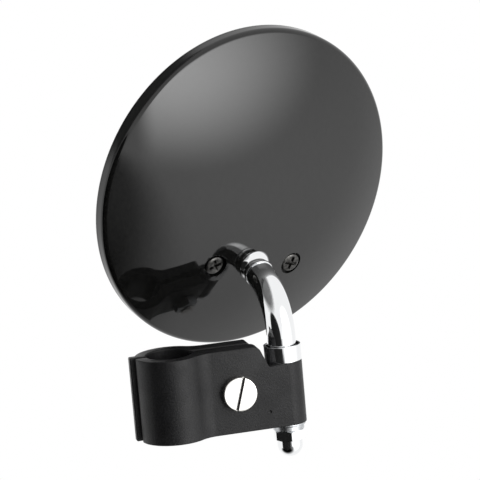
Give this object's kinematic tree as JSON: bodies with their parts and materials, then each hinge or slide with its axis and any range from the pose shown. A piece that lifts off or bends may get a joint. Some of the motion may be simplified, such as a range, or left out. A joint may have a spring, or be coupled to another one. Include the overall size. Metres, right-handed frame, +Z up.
{
  "type": "scooter legshield mirror",
  "caption": "Round convex mirror in a domed black housing, on a ball joint and a bent chrome stem, with a two-jaw clamp for the edge of a scooter's legshield.",
  "frame": {"origin": "on the axis of the legshield bead that the jaws grip, at the clamp's mid-height", "axes": "+X along the clamp from the legshield to the stem, +Y from the mirror's back towards the rider, +Z up"},
  "size_m": [0.1127, 0.0633, 0.1496],
  "materials": {
    "satin_black_paint": "fine-grained satin black paint on a die casting",
    "bright_nickel": "bright nickel plate on turned steel",
    "chrome": "polished chrome plate",
    "zinc_steel": "zinc-plated steel",
    "natural_nylon": "natural nylon",
    "gloss_black_abs": "glossy black moulding",
    "mirror_glass": "silvered glass",
    "black_rubber": "matt black rubber"
  },
  "bodies": {
    "clamp": {"clamp_front_jaw": "satin_black_paint", "stem_cup": "chrome", "stem_washer": "zinc_steel", "stem_spring_washer": "zinc_steel"},
    "clamp_screw": {"clamp_screw": "bright_nickel"},
    "rear_jaw": {"clamp_rear_jaw": "satin_black_paint", "clamp_nut": "zinc_steel"},
    "stem": {"stem": "chrome", "cap_nut": "chrome"},
    "ball": {"ball_stud": "chrome"},
    "liner": {"ball_liner": "natural_nylon"},
    "head": {"mirror_housing": "gloss_black_abs", "bezel_ring": "gloss_black_abs", "mirror_glass": "mirror_glass", "glass_gasket": "black_rubber", "ball_strap": "zinc_steel", "housing_screws": "zinc_steel"}
  },
  "joints": [
    {"name": "clamp_screw_turn", "type": "hinge", "parent": "clamp", "child": "clamp_screw", "pos_m": [0.0218, 0, -0.0006], "axis": [0, -1, 0], "range_deg": [0, 1440]},
    {"name": "jaw_slide", "type": "slide", "parent": "clamp", "child": "rear_jaw", "axis": [0, 1, 0], "range_m": [0, 0.004]},
    {"name": "stem_swivel", "type": "hinge", "parent": "clamp", "child": "stem", "pos_m": [0.04, 0, 0], "axis": [0, 0, 1], "range_deg": [-35, 2]},
    {"name": "head_spin", "type": "hinge", "parent": "stem", "child": "ball", "pos_m": [0.03637, 0.02101, 0.03857], "axis": [-0.1543, 0.8931, 0.4226], "range_deg": [-14, 14]},
    {"name": "head_tilt", "type": "hinge", "parent": "ball", "child": "liner", "pos_m": [0.03637, 0.02101, 0.03857], "axis": [0.9854, 0.1702, 0], "range_deg": [-9, 12]},
    {"name": "head_turn", "type": "hinge", "parent": "liner", "child": "head", "pos_m": [0.03637, 0.02101, 0.03857], "axis": [0.0719, -0.4165, 0.9063], "range_deg": [-14, 5]}
  ],
  "couplings": [
    {"joint": "clamp_screw_turn", "follows": "jaw_slide", "rad_per_m": 6283.2}
  ]
}
